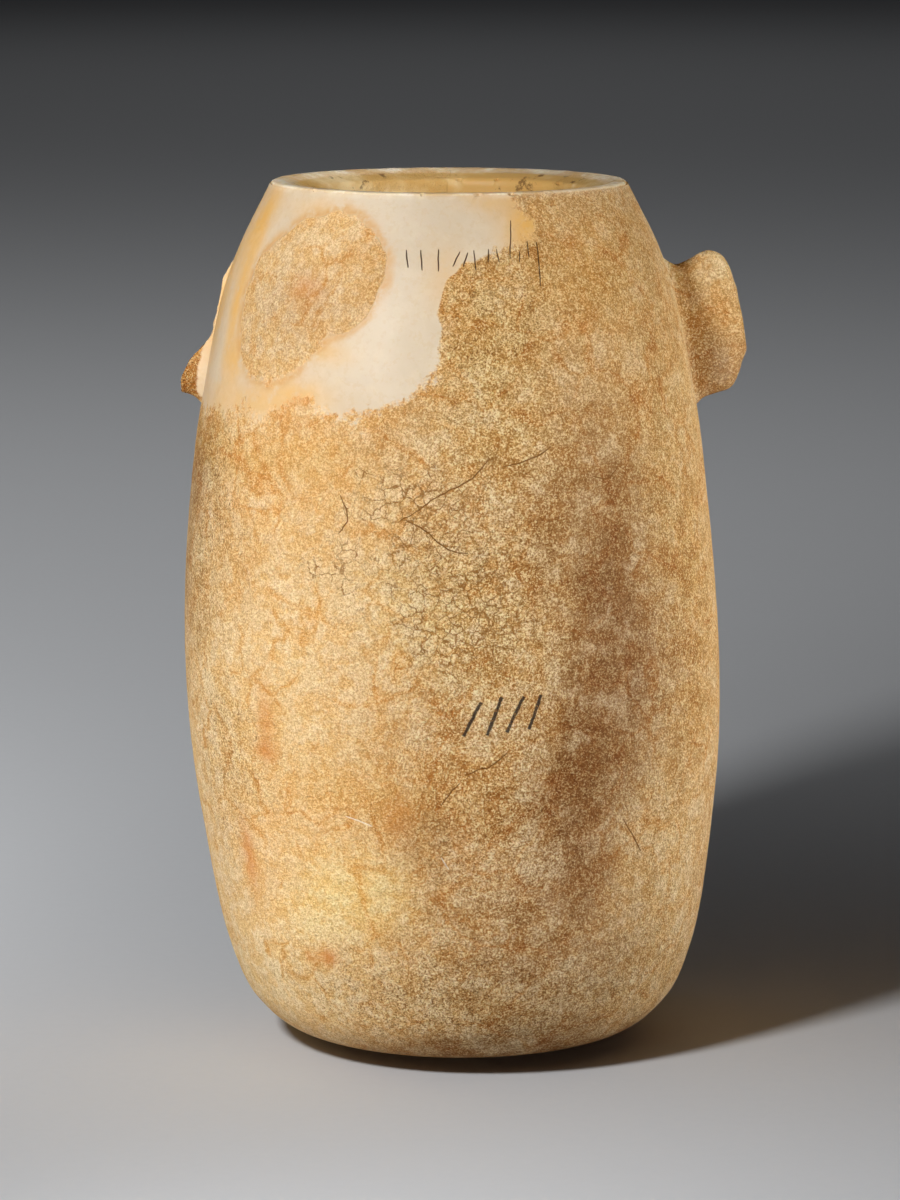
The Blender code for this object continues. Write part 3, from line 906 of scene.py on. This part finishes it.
def stone_finish():
    """Old polished skin, grainy crust over it, stains, pits, cracks, ink and dirt, with some painted shade,
    light and glints among them.
    """
    stone = Finish("weathered_alabaster")
    place = stone.node("ShaderNodeTexCoord", output="Object")
    place = stone.node("ShaderNodeVectorMath", {"operation": "SCALE"}, {0: place, "Scale": 1 / MM})
    hollow, lip = stone.layer("hollow"), stone.layer("lip")

    # Grains of the stone, by size in millimetres.
    fine = stone.grain(place, 0.6, 2, 0.8)
    grit = stone.grain(place, 2.2, 3, 0.7)
    # Each speck's colour is a random one, and sums read it as one number.
    speck = stone.cells(stone.bent(place, 0.5, 0.5), 0.52, "Color")
    mottle = stone.grain(place, 7, 5, 0.66)
    cloud = stone.grain(place, 26, 5, 0.6)
    bent = stone.bent(place, 2.6, 3.2)
    webs = stone.cells(bent, 4.6, feature="DISTANCE_TO_EDGE")
    drifted = stone.bent(place, 12, 14)
    veins = stone.cells(drifted, 21, feature="DISTANCE_TO_EDGE")

    # Where the polished skin lies, with a ragged edge, and where the crust is pitted and cracked.
    soft = stone.layer("soft")
    ragged = 0.35 + soft * 1.3
    edge = stone.layer("polished") - 0.5 + (mottle - 0.5) * ragged + (grit - 0.5) * ragged
    polished = stone.ease(edge * (1 - soft * 0.55), -0.16, 0.16)
    crust = 1 - polished
    outer_crust = crust * (1 - hollow) * (1 - lip)

    rough = stone.ease(stone.layer("pitted") + (mottle - 0.5) * 1.2, 0.1, 0.9)
    pits = stone.ease(fine + (grit - 0.5) * 0.5, 0.385, 0.34) * rough * outer_crust
    crackled = stone.ease(stone.layer("crackled") + (mottle - 0.5) * 2.4, 0.38, 0.8)
    crackle = stone.ease(webs + (fine - 0.5) * 0.08, 0.065, 0.015) * crackled * outer_crust
    seeped = stone.ease(veins + (grit - 0.5) * 0.08, 0.075, 0.0) * stone.ease(cloud, 0.44, 0.54)

    # Crust colours.
    brown_and_shade = stone.layer("brown_and_shade")
    colour = stone.blend(tone(240, 198, 143), tone(252, 216, 168), stone.ease(cloud, 0.40, 0.60))
    colour = stone.blend(colour, tone(234, 184, 108), stone.layer("golden") * stone.ease(mottle, 0.2, 0.5))
    # Brown stains and painted shade: the dark column on the right and the darkening along the foot.
    colour = stone.blend(colour, tone(152, 104, 52), brown_and_shade)
    # Pale stone, with painted light from the floor low on the foot.
    colour = stone.blend(colour, tone(252, 226, 180), stone.layer("pale"))
    colour = stone.blend(colour, tone(202, 164, 128), stone.layer("pink") * 0.8)
    colour = stone.blend(colour, tone(255, 228, 168), stone.layer("glow"))
    # Painted shade at the ear's root, where it meets the wall.
    colour = stone.blend(colour, tone(224, 204, 162), stone.layer("root"), "MULTIPLY")

    # Its grain: stains at three sizes, seeped veins, and small pale flakes on top. The dark sand specks are
    # partly painted shade beside the grains, and the flakes partly painted glints of lit grains.
    coarse = stone.layer("coarse")
    show = 0.45 + coarse * 0.55
    blotch = stone.grain(place, 11, 4, 0.62)
    stained = coarse * (1 - stone.layer("pale") * 0.7)
    colour = stone.blend(colour, tone(250, 236, 210), stone.ease(mottle, 0.56, 0.42), "MULTIPLY")
    colour = stone.blend(colour, tone(222, 202, 162), stone.ease(blotch, 0.50, 0.40) * stained, "MULTIPLY")
    colour = stone.blend(colour, tone(255, 232, 196), stone.ease(blotch, 0.52, 0.64) * coarse * 0.6)
    colour = stone.blend(colour, tone(236, 226, 204), stone.ease(grit, 0.57, 0.42) * show, "MULTIPLY")
    sand = fine + (speck - 0.5) * 0.32
    # Darker specks: the stone's own grain mixed with painted shade of the grains.
    colour = stone.blend(colour, tone(188, 161, 112), stone.ease(sand, 0.58, 0.36) * show, "MULTIPLY")
    colour = stone.blend(colour, tone(240, 212, 166), seeped * 0.8, "MULTIPLY")
    # Pale flakes, partly painted glints where grains catch the light.
    flakes_and_glints = stone.ease(sand + (grit - 0.5) * 0.3, 0.52, 0.70) * show * (1 - brown_and_shade * 0.6)
    colour = stone.blend(colour, tone(255, 238, 184), flakes_and_glints * 0.8)
    colour = stone.blend(colour, tone(212, 124, 40), stone.layer("amber") * 0.8)

    # Polished skin.
    skin = stone.blend(tone(198, 180, 155), tone(204, 187, 163), stone.ease(cloud, 0.38, 0.6))
    skin = stone.blend(skin, tone(214, 164, 88), stone.layer("amber_skin") * stone.ease(mottle, 0.15, 0.5))
    skin = stone.blend(skin, tone(196, 144, 76), stone.layer("halo") * stone.ease(mottle, 0.3, 0.55) * 0.8)
    skin = stone.blend(skin, tone(190, 156, 112), stone.ease(grit, 0.49, 0.38) * 0.18)
    skin = stone.blend(skin, tone(226, 210, 184), stone.ease(mottle, 0.5, 0.64) * 0.1)
    colour = stone.blend(colour, skin, polished)

    # The hollow, stained amber, with dark pits below the lip, and the pale worn lip.
    inside = stone.blend(tone(200, 158, 92), tone(228, 200, 148), stone.ease(cloud, 0.4, 0.6))
    inside = stone.blend(inside, tone(84, 50, 22), stone.ease(mottle, 0.42, 0.35) * 0.7)
    colour = stone.blend(colour, inside, hollow)
    worn = stone.blend(tone(228, 206, 168), tone(244, 230, 204), stone.ease(mottle, 0.44, 0.58))
    worn = stone.blend(worn, tone(198, 150, 84), stone.ease(cloud, 0.50, 0.42) * 0.6)
    colour = stone.blend(colour, worn, lip * 0.85)

    # Pits, cracks, cuts, chips and ink go over everything.
    colour = stone.blend(colour, tone(104, 60, 16), pits * 0.75)
    colour = stone.blend(colour, tone(150, 96, 30), crackle * 0.8)
    colour = stone.blend(colour, tone(140, 88, 26), stone.ease(stone.layer("crack"), 0.02, 0.4) * 0.9)
    colour = stone.blend(colour, tone(238, 220, 186), stone.layer("broken") * 0.6)
    colour = stone.blend(colour, tone(252, 242, 222), stone.layer("fresh") * 0.8)
    colour = stone.blend(colour, tone(70, 40, 20), stone.ease(stone.layer("dirt"), 0.15, 0.7) * 0.9)
    ink = ink_marks(stone, place) * (1 - hollow) * stone.ease(fine, 0.30, 0.42)
    colour = stone.blend(colour, tone(40, 30, 28), ink * 0.92)

    # Relief in millimetres, strong on the crust and faint on the skin.
    relief = (fine - 0.5) * 1.2 + (speck - 0.5) * 0.12 + (grit - 0.5) * 1.6 + (mottle - 0.5) * 1.7
    relief = relief * (0.78 + coarse * 0.48) - pits * 0.3 - crackle * 0.12
    calm = 1 - hollow * 0.6 - lip * 0.75
    skin_relief = (mottle - 0.5) * 0.12 + (grit - 0.5) * 0.05
    height = relief * (crust * calm) + crust * 0.14 + polished * skin_relief
    bump = stone.node(
        "ShaderNodeBump", None, {"Strength": 1.0, "Distance": MM, "Height": height}, output="Normal",
    )
    shader = stone.shader
    stone.feed(shader.inputs["Base Color"], colour)
    stone.feed(shader.inputs["Roughness"], 0.44 + crust * 0.30)
    stone.feed(shader.inputs["Normal"], bump)
    stone.feed(shader.inputs["Specular IOR Level"], 0.16)
    stone.feed(shader.inputs["Subsurface Weight"], 0.12)
    stone.feed(shader.inputs["Subsurface Radius"], (0.9, 0.5, 0.2))
    stone.feed(shader.inputs["Subsurface Scale"], 6 * MM)
    return stone.material


# ------------------------ stage

CAMERA_PLACE = (-0.0039, -1.600, 0.4011)  # metres, as all places here
CAMERA_TILT = 80.904          # degrees
CAMERA_LENS = 149.0
KEY_PLACE = Vector((-0.351, -0.556, 0.550))
KEY_RADIUS = 0.055
# The key lamp's two overlapping beams: bearing from +Y towards +X, rise, cone (in degrees), power.
KEY_BEAMS = {"key_on_jar": (61.5, -42.1, 77.4, 22.4), "key_on_floor": (-29.7, 5.5, 156.5, 95.5)}
# The room's lights, and small cards that light the jar alone, as place, aim, cone in degrees,
# softness and power.
ROOM_LIGHTS = {
    "backdrop_light": ((-0.91, 0.8, 2.32), (0.09, 2.53, 0), 108, 0.2, 64),
    "far_light": ((0, 6, 3), (0, 6.01, 0), 140, 0.2, 17),
    "overhead": ((0, 0, 2.4), (0, 0.01, 0), 150, 0.9, 2.5),
}
CARDS = {
    "front_card": ((0.35, -2.2, 0.06), (0, 0, 0.13), 9.5, 0.1, 82),
    "shoulder_card": ((1.2, -1.5, 0.95), (0.03, -0.03, 0.225), 4.8, 0.05, 24),
    "base_card_left": ((-0.7, -1.0, 0.03), (-0.02, 0, 0.036), 7, 0.05, 18),
    "base_card_right": ((1.05, -0.6, 0.03), (0.02, 0, 0.036), 7, 0.05, 5),
    "rim_card": ((1.5, 0.25, 0.06), (0.03, 0, 0.055), 5.2, 0.05, 24),
    "right_card_low": ((1.9, -0.28, 0.70), (0, 0, 0.088), 7.2, 0.06, 165),
    "right_card_high": ((1.9, -0.28, 0.70), (0, 0, 0.236), 7.2, 0.06, 112),
    "left_card": ((-1.85, -0.65, 0.302), (0, 0, 0.078), 6.2, 0.05, 58),
    "ear_card": ((0.9, -1.6, 0.75), (0.103, 0, 0.232), 2.2, 0.05, 48),
}
ROOM_COLOUR = (0.012, 0.012, 0.0125, 1.0)
FLOOR_HALF = 9                # metres
FLOOR_BACK = 5                # the floor's middle lies this far behind the jar
FLOOR_TOOTH = 0.004           # size of the paper's grain
CREASE = 50                   # degrees past which an edge is shaded sharp


def floor_sheet():
    """A plain pale floor that runs far back behind the jar."""
    bm = bmesh.new()
    bmesh.ops.create_grid(bm, x_segments=8, y_segments=8, size=FLOOR_HALF)
    bmesh.ops.translate(bm, vec=(0, FLOOR_BACK, 0), verts=bm.verts)
    sheet = mesh_object("floor", bm)
    paper = Finish("pale_paper")
    place = paper.node("ShaderNodeTexCoord", output="Object")
    tooth = paper.grain(place, FLOOR_TOOTH, 2, 0.5)
    colour = paper.blend(tone(212, 214, 217), tone(215, 217, 220), tooth)
    paper.feed(paper.shader.inputs["Base Color"], colour)
    paper.feed(paper.shader.inputs["Roughness"], 0.9)
    paper.feed(paper.shader.inputs["Specular IOR Level"], 0.1)
    sheet.data.materials.append(paper.material)
    return sheet


def lamp(name, place, aim, cone, softness, power, only=None):
    """One soft-edged spot light at a place, turned towards a point."""
    light = bpy.data.lights.new(name, "SPOT")
    light.energy = power
    light.spot_size = math.radians(cone)
    light.spot_blend = 1.0
    light.shadow_soft_size = softness
    thing = bpy.data.objects.new(name, light)
    thing.location = place
    thing.rotation_euler = (Vector(aim) - Vector(place)).to_track_quat("-Z", "Y").to_euler()
    thing.light_linking.receiver_collection = only
    bpy.context.collection.objects.link(thing)


def lights(jar):
    """The key lamp, the room's lights and the cards, which light the jar alone."""
    for name, (bearing, rise, cone, power) in KEY_BEAMS.items():
        turn, tip = math.radians(bearing), math.radians(rise)
        way = Vector((math.sin(turn) * math.cos(tip), math.cos(turn) * math.cos(tip), math.sin(tip)))
        lamp(name, KEY_PLACE, KEY_PLACE + way, cone, KEY_RADIUS, power)
    for name, light in ROOM_LIGHTS.items():
        lamp(name, *light)
    lit = bpy.data.collections.new("lit_by_the_cards")
    lit.objects.link(jar)
    for name, card in CARDS.items():
        lamp(name, *card, only=lit)
    world = bpy.data.worlds.new("dim_room")
    world.use_nodes = True
    background = world.node_tree.nodes["Background"]
    background.inputs["Color"].default_value = ROOM_COLOUR
    background.inputs["Strength"].default_value = 1.0
    bpy.context.scene.world = world


def camera():
    lens = bpy.data.cameras.new("camera")
    lens.lens = CAMERA_LENS
    lens.clip_end = 50
    thing = bpy.data.objects.new("camera", lens)
    thing.location = CAMERA_PLACE
    thing.rotation_euler = (math.radians(CAMERA_TILT), 0, 0)
    bpy.context.collection.objects.link(thing)
    bpy.context.scene.camera = thing


# ------------------------ assembly

def main():
    jar, bottoms, marks = carved_jar()
    surface = Surface(jar.data)
    polished = finish_map(surface, bottoms, marks)
    wear(surface, polished)
    jar.data.materials.clear()
    jar.data.materials.append(stone_finish())
    jar.data.shade_smooth()
    jar.data.set_sharp_from_angle(angle=math.radians(CREASE))
    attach(jar, "root")
    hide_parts("alabastron")
    floor_sheet()
    lights(jar)
    camera()
    bpy.context.scene.view_settings.view_transform = "Standard"


main()
